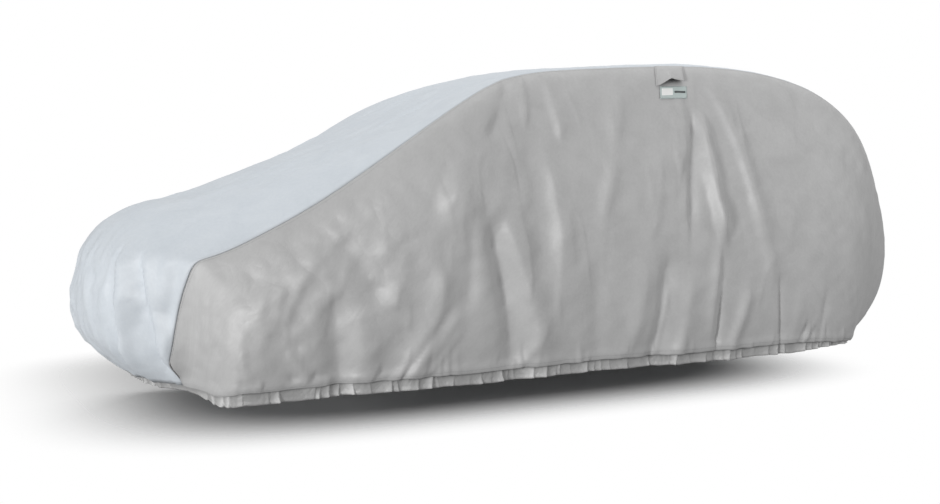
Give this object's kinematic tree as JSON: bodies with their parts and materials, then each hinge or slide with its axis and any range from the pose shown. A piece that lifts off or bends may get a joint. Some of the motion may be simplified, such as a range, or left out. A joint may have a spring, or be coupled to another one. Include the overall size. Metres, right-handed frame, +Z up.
{
  "type": "car cover",
  "caption": "Hollow fitted cloth cover for a hatchback, with a light centre panel, grey side panels and a gathered elastic hem.",
  "frame": {"origin": "the point under the middle of the roof at which the cover is held up, on the roof's inner face", "axes": "+X towards the back of the cover, +Y towards its right side, +Z up"},
  "size_m": [4.7647, 1.8586, 1.6507],
  "materials": {
    "light_cloth": "matte coated cloth",
    "grey_cloth": "matte coated cloth",
    "band_cloth": "matte gathered cloth",
    "label_cloth": "smooth printed cloth"
  },
  "bodies": {
    "root": {"centre_panel": "light_cloth", "side_panel_left": "grey_cloth", "side_panel_right": "grey_cloth", "hem_band": "band_cloth", "flap": "grey_cloth", "label": "label_cloth"}
  },
  "joints": []
}
